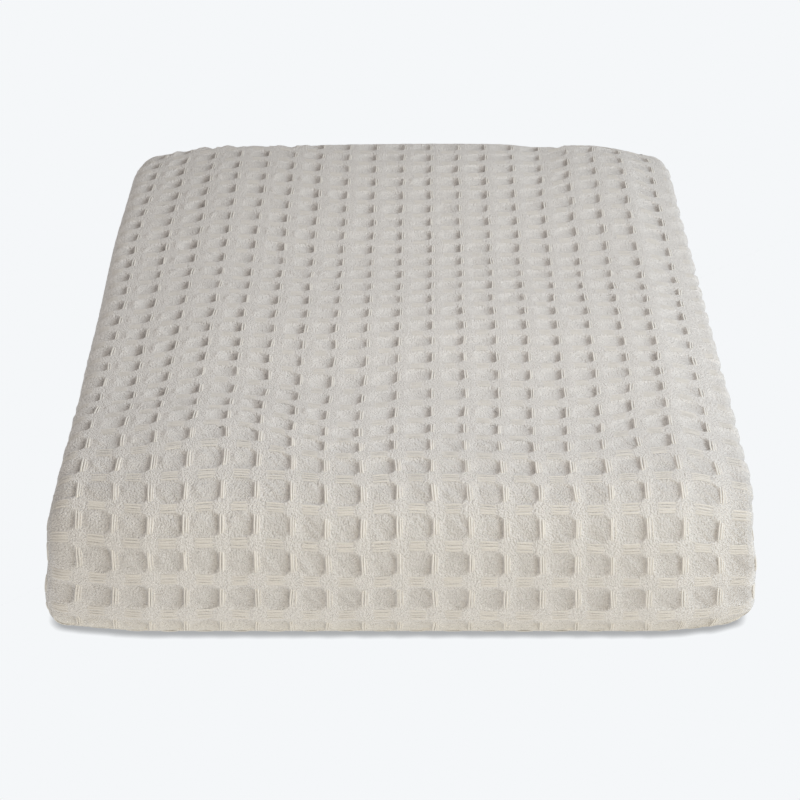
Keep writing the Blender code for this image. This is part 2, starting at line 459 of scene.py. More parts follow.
def lengthwise_path():
    """The bundle's middle along its length, measured on the outer layer."""
    front_middle = OUTER_OFFSET + HALF_CLOTH
    back_turn = STACK_DEPTH - LOWER_FOLD_STEP - BACK_RADIUS - OUTER_OFFSET - HALF_CLOTH
    foot_radius = FRONT_FOOT_RADIUS - OUTER_OFFSET
    turns = []
    depth = 0.0
    drop = 0.0
    facing = 0.0
    for degrees, outer_radius in FRONT_TURNS:
        radius = outer_radius - OUTER_OFFSET
        turned = facing + math.radians(degrees)
        depth += radius * (math.sin(turned) - math.sin(facing))
        drop += radius * (math.cos(facing) - math.cos(turned))
        facing = turned
        turns.append(arc(radius, degrees))
    height = (LAYERS - LAYERS_IN_BUNDLE) * LAYER_PITCH
    top_run = back_turn - front_middle - depth
    moves = (
        line(back_turn - UPPER_END_GAP),
        arc(BACK_RADIUS, 180),
        line(top_run),
        *turns,
        line(height - drop - foot_radius),
        arc(foot_radius, 90),
        line(back_turn + LOWER_FOLD_STEP - front_middle - foot_radius),
        arc(BACK_RADIUS, 180),
        line(back_turn + LOWER_FOLD_STEP - LOWER_END_GAP),
    )
    start = (UPPER_END_GAP, HALF_CLOTH + THIRD_BUNDLE_LEVEL * LAYER_PITCH)
    return Route(start, 0.0, moves, OUTER_OFFSET)


SECTION = bundle_section()
PATH = lengthwise_path()
# Moves of the two routes, by their order in them.
SMALL_FOLD, OUTER_RUN, BIG_FOLD, SECOND_SMALL_FOLD = 1, 2, 3, 5
UPPER_BACK, TOP, SHOULDER, FOOT, BOTTOM, LOWER_BACK = 1, 2, 3, 7, 8, 9


def bumps(table, across, along):
    """The sum of soft bumps given by their middles, reaches and heights."""
    height = 0.0
    for centre_across, centre_along, reach_across, reach_along, swell in table:
        far = ((across - centre_across) / reach_across) ** 2
        far = far + ((along - centre_along) / reach_along) ** 2
        height = height + swell * np.exp(-far)
    return height


def side_swell(side, along):
    """How far the sides stand out."""
    swell = 0.0
    for swell_side, centre, reach, out in SIDE_SWELLS:
        out_here = np.where(side == swell_side, out, 0.0)
        swell = swell + out_here * np.exp(-(((along - centre) / reach) ** 2))
    return swell


def edge_droops(across, near_back):
    """How far the top's edges sink at the right and at the left, each from none to one."""
    right = smooth(1 - (STACK_WIDTH / 2 - across) / RIGHT_DROOP_REACH) * (1 - near_back)
    left = smooth(1 - (STACK_WIDTH / 2 + across) / LEFT_DROOP_REACH) * (1 - near_back)
    return right, left


def foot_pull(side, across, height, near_front):
    """How far the front's bottom corners are pulled back."""
    pull = np.where(side < 0, LEFT_FOOT_PULL, RIGHT_FOOT_PULL)
    pull = pull * np.clip(1 - (STACK_WIDTH / 2 - np.abs(across)) / FOOT_PULL_REACH, 0, 1) ** 2
    return pull * smooth(1 - height / FOOT_PULL_HEIGHT) * near_front


def settle(across, along, height):
    """Moves points of the straight stack to where the soft cloth lies."""
    level = (height - HALF_CLOTH) / (STACK_HEIGHT - CLOTH_THICKNESS)
    side = np.where(across > 0, 1, -1)
    near_side = smooth(1 - (STACK_WIDTH / 2 - np.abs(across)) / CORNER_REACH_ACROSS)
    near_front = smooth(1 - along / CORNER_REACH_ALONG)
    near_back = smooth(1 - (STACK_DEPTH - along) / CORNER_REACH_ALONG)
    corner = near_side * np.maximum(near_front, near_back)
    end = np.where(near_front > near_back, 1, -1)
    foot_tuck = np.where(side > 0, RIGHT_FOOT_TUCK, 0.0)
    reach = side_swell(side, along) - BACK_CORNER_PULL * near_back
    reach = reach - foot_tuck * smooth(1 - height / FOOT_TUCK_HEIGHT)
    wander = np.sin(math.tau * (height / SIDE_WANDER_HEIGHT + along / SIDE_WANDER_LENGTH))
    right_droop, left_droop = edge_droops(across, near_back)
    rise = bumps(TOP_SWELLS, across, along) - BACK_CORNER_DROOP * near_side * near_back
    rise = rise - RIGHT_DROOP * right_droop - LEFT_DROOP * left_droop
    x = across * (1 + SPREAD_AT_FOOT * (1 - level)) + near_side * (side * reach + SIDE_WANDER * wander)
    x = x + RIGHT_SPREAD * right_droop * (1 - near_front)
    y = along + end * CORNER_PULL * corner + foot_pull(side, across, height, near_front)
    z = height + rise * level
    return x, y, z


def place(u, v, height):
    """Points of the folded cloth: u along its width, v along its length, height off its middle."""
    across, offset, turned = SECTION.at(u)
    across = across + np.sin(turned) * height
    offset = offset - np.cos(turned) * height
    along, up, heading = PATH.at(v)
    along = along + np.sin(heading) * offset
    up = up - np.cos(heading) * offset
    x, y, z = settle(across, along, up)
    low, high = CLOTH_BOX
    return np.stack((x - (low[0] + high[0]) / 2, y - (low[1] + high[1]) / 2, np.maximum(z, 0.0)), -1)


def soft_noise(rng, size):
    """A smooth random height for each point of the plane, repeating after size units."""
    lattice = rng.uniform(-1, 1, (size, size))

    def height(a, b):
        ia = np.floor(a).astype(int)
        ib = np.floor(b).astype(int)
        fa = smooth(a - ia)
        fb = smooth(b - ib)
        i0, i1 = ia % size, (ia + 1) % size
        j0, j1 = ib % size, (ib + 1) % size
        near = lattice[i0, j0] * (1 - fb) + lattice[i0, j1] * fb
        far = lattice[i1, j0] * (1 - fb) + lattice[i1, j1] * fb
        return near * (1 - fa) + far * fa

    return height


def measure_cloth_box():
    """The box of the cloth's middle surface before it is centred."""
    u = np.linspace(0, SECTION.total, BOX_SAMPLES_ACROSS)[:, None]
    v = np.linspace(0, PATH.total, BOX_SAMPLES_ALONG)[None, :]
    across, offset, _ = SECTION.at(u)
    along, up, heading = PATH.at(v)
    x, y, z = settle(across + 0 * along, along + np.sin(heading) * offset, up - np.cos(heading) * offset)
    return (x.min(), y.min()), (x.max(), y.max())


CLOTH_BOX = measure_cloth_box()


# The weave's own grid: columns count cells leftwards over the top, rows count cells down
# the front. Ridges lie at whole numbers.
MIDDLE_U = SECTION.start_of(OUTER_RUN) + STACK_WIDTH / 2 - INNER_OFFSET - HALF_CLOTH


def row_zero():
    """How far along the cloth the ridge under the front's lowest whole row lies."""
    _, height, _ = PATH.at(np.array(PATH.start_of(FOOT)))
    return PATH.start_of(FOOT) - (FIRST_ROW_HEIGHT - float(height)) + CELL_ALONG / 2


ROW_ZERO = row_zero()


def by_row(table, row):
    """A value that changes from row to row, from a table by rows behind the front's lowest."""
    rows_behind, values = zip(*table)
    return np.interp(-row - 0.5, rows_behind, values)


def by_column(table, column):
    """A value that changes from column to column, from a table by columns left of the right edge."""
    columns, values = zip(*table)
    return np.interp(column, columns, values)


def on_cloth(column, row):
    """Distances along the cloth of a place in the weave's grid, which isn't quite square to it."""
    to_left = np.clip(column - MIDDLE_CELL, -CELLS_HALF_ACROSS, CELLS_HALF_ACROSS)
    behind = -row - 0.5
    climb = by_row(ROW_TILTS, row) * CELL_ACROSS / CELL_ALONG * to_left / TILT_CELLS
    slip = by_row(ROW_SLIPS, row) + bumps(ROW_WAVES, -to_left, behind)
    v = ROW_ZERO + CELL_ALONG * (row + climb + slip)
    foot = smooth(1 - behind / FOOT_ROWS)
    spread = TOP_SPREADS - (TOP_SPREADS + FOOT_CONVERGES) * foot
    shift = spread * to_left - bumps(COLUMN_WAVES, -to_left, behind)
    back = np.clip((PATH.start_of(SHOULDER) - v) / (PATH.start_of(SHOULDER) - PATH.start_of(TOP)), 0, 1)
    u = MIDDLE_U + CELL_ACROSS * (column - MIDDLE_CELL + shift) - BACK_DRIFT * back
    return u + WANDER * wander_u(column, row), v + WANDER * wander_v(column, row)


def column_at(u):
    """The column at a distance across the cloth, where its grid is straight."""
    return MIDDLE_CELL + (u - MIDDLE_U) / CELL_ACROSS


def row_at(v):
    """The row at a distance along the cloth, where its grid is straight."""
    return (v - ROW_ZERO) / CELL_ALONG


RNG = np.random.default_rng(SEED)
wander_u = soft_noise(RNG, WANDER_REPEAT)
wander_v = soft_noise(RNG, WANDER_REPEAT)
crease = soft_noise(RNG, WRINKLE_REPEAT)
CELL_SHAPE = np.clip(RNG.normal(0, 1, (CELL_SHAPES, CELL_SHAPES, 5)), -2, 2)


def hollow_share(a, b, size):
    """One inside a hollow, falling to zero over its edge: a steep one on the right."""
    across = (np.abs(a) / HOLLOW_HALF_ACROSS) ** HOLLOW_SQUARENESS
    along = (np.abs(b) / HOLLOW_HALF_ALONG) ** HOLLOW_SQUARENESS
    out = (across + along) ** (1 / HOLLOW_SQUARENESS) * size
    edge = STEEP_EDGE + (SOFT_EDGE - STEEP_EDGE) * smooth(0.5 + a / (2 * HOLLOW_HALF_ACROSS))
    return 1 - smooth((out - edge) / (1 - edge))


def pocket_share(a, b):
    """One against the middle of the right-hand ridge, fading leftwards and to the corners."""
    leftwards = np.clip((a + HOLLOW_HALF_ACROSS) / POCKET_REACH, 0, 1)
    outwards = smooth((np.abs(b) / POCKET_HALF_ALONG - POCKET_CORE) / (1 - POCKET_CORE))
    return (1 - leftwards) ** POCKET_POWER * (1 - outwards)


def dome_share(a, b):
    """One where a hollow's floor swells up most, falling to zero at its edges."""
    share = 1.0
    for spot, middle, half in zip((a, b), DOME_MIDDLE, (HOLLOW_HALF_ACROSS, HOLLOW_HALF_ALONG)):
        reach = half - np.sign(spot - middle) * middle
        share = share * np.clip(1 - ((spot - middle) / reach) ** 2, 0, 1)
    return share


def float_share(spot):
    """One in the middle of a ridge's run, under its loose yarns, and none at its crossings."""
    return 1 - smooth((np.abs(2 * spot) - FLOAT_CORE) / FLOAT_FADE)


def hollow_depth(column, row, a, b, shape):
    """How far a hollow's floor lies below the ridges, without its wrinkles."""
    _, floor, pocket, lean_across, lean_along = shape
    depth = by_row(FLOOR_DEPTHS, row) * (1 + DEPTH_SPREAD * floor)
    pocket_depth = by_column(POCKET_DEPTHS, column) * by_row(FRONT_POCKETS, row)
    pocket_depth = pocket_depth * (1 + POCKET_SPREAD * pocket)
    depth = depth + pocket_depth * pocket_share(a, b) - by_column(DOMES, column) * dome_share(a, b)
    return depth - HOLLOW_TILT * 2 * (lean_across * a + lean_along * b)


def cloth_tone_with_painted_shade(column, row, a, b, inside):
    """How pale the cloth is, with painted shade and light: shade in a hollow's pocket and over its right
    and lower side, and between the crosswise yarns; a hollow darker on the front and paler on the top.
    """
    shade = np.clip(SHADE_MIDDLE - SHADE_ACROSS * a + SHADE_DOWN * b, 0, 1)
    # painted shade: the right ridge's shadow in the pocket, spread over the hollow's right and lower
    # side
    painted_shade = by_row(POCKET_PAINTED_SHADE, row) * by_column(POCKET_PAINTED_SHADE_SHARES, column)
    painted_shade = painted_shade * (pocket_share(a, b) + SHADE * shade)
    # painted shade between the crosswise yarns on a ridge
    ridge_tone_with_gap_shade = RIDGE_TONE - by_row(GAP_PAINTED_SHADE, row) * float_share(a)
    # a hollow's tone: painted shade on the front, painted light on the top, less its pocket's painted
    # shade
    return ridge_tone_with_gap_shade + (by_row(HOLLOW_PAINTED_SHADE_AND_LIGHT, row) - painted_shade - ridge_tone_with_gap_shade) * inside


def relief(column, row):
    """Height of the cloth's outer face above its middle surface, and its tone, which holds painted shade
    and light.
    """
    i = np.floor(column).astype(int)
    j = np.floor(row).astype(int)
    shape = np.moveaxis(CELL_SHAPE[i % CELL_SHAPES, j % CELL_SHAPES], -1, 0)
    a = column - i - 0.5
    b = row - j - 0.5
    inside = hollow_share(a, b, 1 + SIZE_SPREAD * shape[0])
    wrinkles = crease(
        WRINKLES_IN_CELL * (column + row),
        WRINKLES_IN_CELL * WRINKLE_SHARE_ALONG * (row - column),
    )
    depth = hollow_depth(column, row, a, b, shape)
    height = RIDGE_HEIGHT + inside * (WRINKLE * np.abs(wrinkles) - depth)
    sag = FLOAT_SADDLE * float_share(np.minimum(np.abs(a), np.abs(b))) * (1 - inside)
    return height - sag, cloth_tone_with_painted_shade(column, row, a, b, inside)


def cell_lines(start, end, shares, gap=None):
    """Grid lines from start to end: at these shares of each cell, and at both ends."""
    cells = range(math.floor(start), math.ceil(end))
    nearest = NEAREST_LINE * min(b - a for a, b in zip(shares, shares[1:] + (1.0,)))
    lines = [cell + share for cell in cells for share in shares]
    lines = [start] + [x for x in lines if start + nearest < x < end - nearest] + [end]
    if gap is None:
        return lines
    filled = []
    for a, b in zip(lines, lines[1:]):
        parts = math.ceil((b - a) / gap)
        filled.extend(a + (b - a) * part / parts for part in range(parts))
    return filled + [end]


# How finely a band of the cloth is divided.
COARSE, MEDIUM, FINE, FINEST = range(4)


def zone(start, end, shares, front_shares, gap=None):
    """The grid lines of one band of the cloth, at each level of detail."""
    fine = cell_lines(start, end, shares, gap)
    medium = fine[::2] + ([] if len(fine) % 2 else [end])
    coarse = [start] + [x for x in fine if x == round(x) and start < x < end] + [end]
    return coarse, medium, fine, cell_lines(start, end, front_shares)


def band_starts(route, index_at, moves, margin):
    """Where bands start: at the route's ends, and a margin before and after each fold."""
    starts = [index_at(0.0)]
    for move, way in zip(moves, (-1, 1) * (len(moves) // 2)):
        starts.append(index_at(route.start_of(move)) + way * margin)
    return starts + [index_at(route.total)]


def width_zones():
    """The cloth's bands across its width, by name, with their grid lines."""
    folds = (SMALL_FOLD, OUTER_RUN, BIG_FOLD, BIG_FOLD + 1, SECOND_SMALL_FOLD, SECOND_SMALL_FOLD + 1)
    starts = band_starts(SECTION, column_at, folds, SIDE_MARGIN)
    names = ("hidden", "small fold", "outer", "big fold", "hidden", "small fold", "hidden")
    gaps = {"small fold": SMALL_FOLD_GAP}
    return [
        (name, zone(start, end, LINES_ACROSS, FRONT_LINES_ACROSS, gaps.get(name)))
        for name, start, end in zip(names, starts, starts[1:])
    ]


def length_zones():
    """The cloth's bands along its length, by name, with their grid lines."""
    folds = (UPPER_BACK, TOP, SHOULDER, BOTTOM, LOWER_BACK, LOWER_BACK + 1)
    starts = band_starts(PATH, row_at, folds, END_MARGIN)
    names = ("second run", "turn", "top", "front", "bottom", "turn", "third run")
    return [
        (name, zone(start, end, LINES_ALONG, FRONT_LINES_ALONG))
        for name, start, end in zip(names, starts, starts[1:])
    ]


def outer_detail(across, along):
    """Levels of detail of the cloth's outer face, by band: across and along."""
    if across in ("small fold", "big fold"):
        return FINE, FINE if along in ("turn", "top", "front") else MEDIUM
    if across == "outer" and along == "front":
        return FINEST, FINEST
    if across == "outer" and along in ("turn", "top"):
        return FINE, FINE
    if across == "outer" and along == "bottom":
        return MEDIUM, MEDIUM
    return COARSE, MEDIUM if along in ("turn", "front") else COARSE


def inner_detail(across, along):
    """Levels of detail of the cloth's inner face, which never shows."""
    wide = MEDIUM if across in ("small fold", "big fold") else COARSE
    return wide, MEDIUM if along in ("turn", "front") else COARSE


def lines_by_block(detail, width, length):
    """The grid lines that each block of the cloth uses, across and along."""
    blocks = {}
    for i, (across, us) in enumerate(width):
        for j, (along, vs) in enumerate(length):
            level_u, level_v = detail(across, along)
            blocks[i, j] = (us[level_u], vs[level_v])
    return blocks


def shared(blocks, neighbours, axis):
    """The lines of all these blocks that exist, along one axis, in order."""
    lines = set()
    for key in neighbours:
        if key in blocks:
            lines |= set(blocks[key][axis])
    return sorted(lines)


def shell_faces(blocks, chosen):
    """Faces of one side of the sheet, each a ring of (column, row) keys. Where two blocks
    differ in detail, the faces of the coarser one take in the finer one's points."""
    faces = []
    for i, j in chosen:
        us, vs = blocks[i, j]
        low = shared(blocks, ((i, j - 1), (i, j)), 0)
        high = shared(blocks, ((i, j), (i, j + 1)), 0)
        near = shared(blocks, ((i - 1, j), (i, j)), 1)
        far = shared(blocks, ((i, j), (i + 1, j)), 1)
        for u0, u1 in zip(us, us[1:]):
            for v0, v1 in zip(vs, vs[1:]):
                ring = [(u0, v0)]
                if v0 == vs[0]:
                    ring += [(u, v0) for u in low if u0 < u < u1]
                ring.append((u1, v0))
                if u1 == us[-1]:
                    ring += [(u1, v) for v in far if v0 < v < v1]
                ring.append((u1, v1))
                if v1 == vs[-1]:
                    ring += [(u, v1) for u in reversed(high) if u0 < u < u1]
                ring.append((u0, v1))
                if u0 == us[0]:
                    ring += [(u0, v) for v in reversed(near) if v0 < v < v1]
                faces.append(ring)
    return faces


def open_edges(faces):
    """Edges that only one face uses, in that face's direction."""
    used = set()
    for ring in faces:
        used.update(zip(ring, ring[1:] + ring[:1]))
    return sorted((a, b) for a, b in used if (b, a) not in used)


def rim_faces(outer, inner, outer_index, inner_index):
    """Faces that close a part of the sheet along its open edges."""
    on_line = {}
    for edge in open_edges(outer):
        axis = 0 if edge[0][0] == edge[1][0] else 1
        on_line.setdefault((axis, edge[0][axis]), set()).update(edge)
    faces = []
    for a, b in open_edges(inner):
        axis = 0 if a[0] == b[0] else 1
        low, high = sorted((a[1 - axis], b[1 - axis]))
        between = sorted(key for key in on_line[axis, a[axis]] if low <= key[1 - axis] <= high)
        if a[1 - axis] > b[1 - axis]:
            between.reverse()
        faces.append([inner_index[a], inner_index[b]] + [outer_index[key] for key in reversed(between)])
    return faces


def sheet_part(name, chosen, outer_blocks, inner_blocks):
    """A part of the folded cloth as one closed sheet: the blocks that are chosen."""
    outer = shell_faces(outer_blocks, chosen)
    inner = shell_faces(inner_blocks, chosen)
    outer_keys = sorted({key for ring in outer for key in ring})
    inner_keys = sorted({key for ring in inner for key in ring})
    outer_index = {key: n for n, key in enumerate(outer_keys)}
    inner_index = {key: n + len(outer_keys) for n, key in enumerate(inner_keys)}
    grid = np.array(outer_keys + inner_keys)
    shown = slice(0, len(outer_keys))
    flat = np.stack(on_cloth(grid[:, 0], grid[:, 1]), -1)
    heights, tone = relief(grid[:, 0], grid[:, 1])
    heights[len(outer_keys):] = -BACK_FACE
    faces = [[outer_index[key] for key in ring] for ring in outer]
    faces += [[inner_index[key] for key in reversed(ring)] for ring in inner]
    faces += rim_faces(outer, inner, outer_index, inner_index)
    mesh = bpy.data.meshes.new(name)
    mesh.from_pydata(place(flat[:, 0], flat[:, 1], heights).tolist(), [], faces)
    mesh.shade_smooth()
    add_tones(mesh, tone, painted_bounce_share(mesh))
    add_cloth_uv(mesh, flat)
    normals = np.empty(len(grid) * 3)
    mesh.vertices.foreach_get("normal", normals)
    normals = normals.reshape(-1, 3)
    normals[shown] = outer_normals(grid[shown, 0], grid[shown, 1])
    mesh.normals_split_custom_set_from_vertices(normals.tolist())
    return mesh


def unit(vectors):
    """The same directions, each one long."""
    return vectors / np.linalg.norm(vectors, axis=-1, keepdims=True)


def slopes(point, column, row):
    """The steps of a surface leftwards and down the front, where point gives its places."""
    across = point(column + NORMAL_STEP, row) - point(column - NORMAL_STEP, row)
    along = point(column, row + NORMAL_STEP) - point(column, row - NORMAL_STEP)
    return across, along


def outer_point(column, row):
    """A point of the cloth's outer face."""
    height, _ = relief(column, row)
    return place(*on_cloth(column, row), height)


def ridge_point(column, row):
    """A point at the height of the ridges, whether or not one lies there."""
    return place(*on_cloth(column, row), RIDGE_HEIGHT)


def outer_normals(column, row):
    """The cloth's outer face's normals, from its own slopes, so that parts join smoothly."""
    across, along = slopes(outer_point, column, row)
    return unit(np.cross(across, along))


def painted_bounce_share(mesh):
    """How near each point is to the surface that the blanket rests on, from none to one: its share of
    painted warm bounce light.
    """
    points = np.empty(len(mesh.vertices) * 3)
    mesh.vertices.foreach_get("co", points)
    return 1 - smooth(points[2::3] / PAINTED_BOUNCE_HEIGHT)


def add_tones(mesh, tone, foot):
    """What the cotton's colour follows at each point: its tone, which on the cloth holds painted shade
    and light, and its share of painted warm bounce light at the foot.
    """
    for name, values in (("tone", tone), ("foot", foot)):
        layer = mesh.attributes.new(name, "FLOAT", "POINT")
        layer.data.foreach_set("value", values)


def add_cloth_uv(mesh, flat):
    """A map of the cloth laid flat, in metres, that the weave follows."""
    corners = np.zeros(len(mesh.loops), int)
    mesh.loops.foreach_get("vertex_index", corners)
    layer = mesh.uv_layers.new(name="cloth")
    layer.data.foreach_set("uv", flat[corners].ravel())


OUTER_PARTS = {
    "front": "blanket_front",
    "top": "blanket_top",
    "turn": "blanket_back",
    "bottom": "blanket_under",
}


def part_of_block(across, along):
    """Which piece of the sheet a band belongs to."""
    if across != "outer":
        return "blanket_cloth"
    return OUTER_PARTS.get(along, "blanket_cloth")


def build_sheets():
    """The whole cloth, folded, in five parts that meet edge to edge."""
    width = width_zones()
    length = length_zones()
    outer_blocks = lines_by_block(outer_detail, width, length)
    inner_blocks = lines_by_block(inner_detail, width, length)
    parts = {}
    for i, j in outer_blocks:
        name = part_of_block(width[i][0], length[j][0])
        parts.setdefault(name, []).append((i, j))
    return [
        sheet_part(name, chosen, outer_blocks, inner_blocks)
        for name, chosen in sorted(parts.items())
    ]


def shows(column, row):
    """Whether each place of the weave lies in a band whose outer face shows."""
    seen = np.zeros(np.shape(column), bool)
    for across, (us, *_) in width_zones():
        for along, (vs, *_) in length_zones():
            if outer_detail(across, along)[0] >= FINE:
                seen |= (column > us[0]) & (column <= us[-1]) & (row > vs[0]) & (row <= vs[-1])
    return seen


def yarn_places(yarns, lengthwise):
    """Middles of the loose yarns that show, as columns and rows, and how much higher each lies."""
    columns, rows, yarn = np.meshgrid(
        np.arange(math.floor(column_at(0.0)), math.ceil(column_at(SECTION.total))),
        np.arange(math.floor(row_at(0.0)), math.ceil(row_at(PATH.total))),
        np.arange(len(yarns)),
        indexing="ij",
    )
    aside, up = np.moveaxis(np.array(yarns)[yarn.ravel()], -1, 0)
    columns = columns.ravel() + (aside / CELL_ACROSS if lengthwise else 0.5)
    rows = rows.ravel() + (0.5 if lengthwise else aside / CELL_ALONG)
    seen = shows(columns, rows)
    return columns[seen], rows[seen], up[seen]


# A loose yarn's cross-sections along it, as shares of its half length, and its sides.
YARN_STATIONS = np.array((-0.78, -0.4, 0.0, 0.4, 0.78))
YARN_SIDES = np.radians((0, 90, 180, 270))


def yarn_faces(count, lengthwise):
    """Faces of all the yarns: rings of quads closed by a point at each end."""
    sides = len(YARN_SIDES)
    rings = len(YARN_STATIONS)
    points = rings * sides + 2
    one = []
    for side in range(sides):
        beside = (side + 1) % sides
        last = (rings - 1) * sides
        for ring in range(0, last, sides):
            one.append((ring + side, ring + beside, ring + sides + beside, ring + sides + side))
        one.append((points - 2, beside, side))
        one.append((points - 1, last + side, last + beside))
    if lengthwise:
        one = [face[::-1] for face in one]
    starts = range(0, count * points, points)
    return [tuple(first + point for point in face) for first in starts for face in one]


def across_yarn_normals(column, row):
    """The crosswise yarns' normals: the cloth's own, turned to each yarn's sides."""
    turned = ACROSS_ROUNDNESS * np.append(np.tile(np.cos(YARN_SIDES), len(YARN_STATIONS)), (0.0, 0.0))
    across, along = slopes(ridge_point, column, row)
    return unit(unit(np.cross(across, along)) + unit(along) * turned[:, None])


def yarn_shapes(count, size, rises, rng):
    """The points of each yarn: how far ahead along it, aside of it, and above the cloth."""
    half_length, half_width, half_height = size
    bow, lean, girth, reach = rng.normal(0, 1, (4, count, 1, 1))
    half = half_length * (1 + YARN_LENGTH_SPREAD * reach)
    t = YARN_STATIONS[None, :, None]
    taper = np.sqrt(1 - YARN_TAPER * t**4) * (1 + YARN_GIRTH_SPREAD * girth)
    sway = YARN_SWAY * (bow * (1 - t**2) + YARN_LEAN * lean * t)
    aside = taper * half_width * np.cos(YARN_SIDES) + sway
    above = taper * half_height * np.sin(YARN_SIDES) + YARN_LIFT * (1 - t**2)
    above = above * rises - YARN_DIP * t**6
    ahead = half * t + 0 * aside
    tip = np.array((-1.0, 1.0))[None, :, None]
    tip_aside = YARN_SWAY * YARN_LEAN * lean * tip
    ahead = np.concatenate((ahead.reshape(count, -1), (half * tip)[..., 0]), 1)
    aside = np.concatenate((aside.reshape(count, -1), tip_aside[..., 0]), 1)
    above = np.concatenate((above.reshape(count, -1), np.full((count, 2), -YARN_TIP_DIP)), 1)
    return ahead, aside, above


def yarn_mesh(name, places, lengthwise, size, tone_range, rng):
    """Loose yarns, each a short closed strand that rises from the cloth and dips back in."""
    columns, rows, up = places
    count = len(columns)
    rises = by_row(YARN_RISES, rows)[:, None, None]
    ahead, aside, above = yarn_shapes(count, size, rises, rng)
    here = columns[:, None]
    down = rows[:, None]
    if lengthwise:
        ground, _ = relief(here + 0 * ahead, down + ahead / CELL_ALONG)
        here, down = here + aside / CELL_ACROSS, down + ahead / CELL_ALONG
    else:
        ground, _ = relief(here + ahead / CELL_ACROSS, down + 0 * ahead)
        here, down = here + ahead / CELL_ACROSS, down + aside / CELL_ALONG
    points = place(*on_cloth(here, down), ground + above + up[:, None]).reshape(-1, 3)
    mesh = bpy.data.meshes.new(name)
    mesh.from_pydata(points.tolist(), [], yarn_faces(count, lengthwise))
    mesh.shade_smooth()
    tones = rng.uniform(*tone_range, count)
    add_tones(mesh, np.repeat(tones, ahead.shape[1]), painted_bounce_share(mesh))
    if not lengthwise:
        normals = across_yarn_normals(here, down)
        mesh.normals_split_custom_set_from_vertices(normals.reshape(-1, 3).tolist())
    along_yarn = ahead + YARN_UV_STEP * np.arange(count)[:, None]
    add_cloth_uv(mesh, np.stack((along_yarn, aside), -1).reshape(-1, 2))
    return mesh


def build_yarns():
    """The yarns that lie loose on the ridges: lengthwise ones, then crosswise ones."""
    rng = np.random.default_rng(SEED + 1)
    down = yarn_places(DOWN_YARNS, True)
    across = yarn_places(ACROSS_YARNS, False)
    return [
        yarn_mesh("blanket_yarns_down", down, True, DOWN_YARN, PALE_TONES, rng),
        yarn_mesh("blanket_yarns_across", across, False, ACROSS_YARN, DEEP_TONES, rng),
    ]


def node(tree, kind, **values):
    """A shader node with its properties, and the inputs that have a capital, set by name."""
    made = tree.nodes.new(kind)
    for name, value in values.items():
        if name[0].isupper():
            made.inputs[name.replace("_", " ")].default_value = value
        else:
            setattr(made, name, value)
    return made


# Sockets of a Mix node for colours.
MIX_SHARE, MIX_LOW, MIX_HIGH, MIX_RESULT = 0, 6, 7, 2


def blend(tree, share, low, high):
    """A colour between two, by a share that a socket gives."""
    mix = node(tree, "ShaderNodeMix", data_type="RGBA")
    tree.links.new(share, mix.inputs[MIX_SHARE])
    for socket, colour in ((MIX_LOW, low), (MIX_HIGH, high)):
        if isinstance(colour, tuple):
            mix.inputs[socket].default_value = colour
        else:
            tree.links.new(colour, mix.inputs[socket])
    return mix.outputs[MIX_RESULT]


def scaled(tree, vector, scale):
    """A vector or colour times a number that a socket gives."""
    product = node(tree, "ShaderNodeVectorMath", operation="SCALE")
    tree.links.new(vector, product.inputs[0])
    tree.links.new(scale, product.inputs["Scale"])
    return product.outputs["Vector"]


def mapped(tree, value, low, high):
    """A noise's middle range stretched to run from low to high."""
    span = {"From_Min": NOISE_LOW, "From_Max": NOISE_HIGH, "To_Min": low, "To_Max": high}
    ramp = node(tree, "ShaderNodeMapRange", clamp=False, **span)
    tree.links.new(value, ramp.inputs["Value"])
    return ramp.outputs["Result"]


def noise(tree, vector, scale, detail):
    """A soft noise over the cloth."""
    texture = node(tree, "ShaderNodeTexNoise", noise_dimensions="2D", Scale=scale, Detail=detail)
    tree.links.new(vector, texture.inputs["Vector"])
    return texture.outputs["Fac"]


def thread_grain(tree, cloth):
    """Height of the fine weave: a small round bump for each place where a thread shows."""
    bumps_of_thread = node(tree, "ShaderNodeTexVoronoi", voronoi_dimensions="2D", Scale=1 / THREAD_PITCH)
    tree.links.new(cloth, bumps_of_thread.inputs["Vector"])
    return bumps_of_thread.outputs["Distance"]


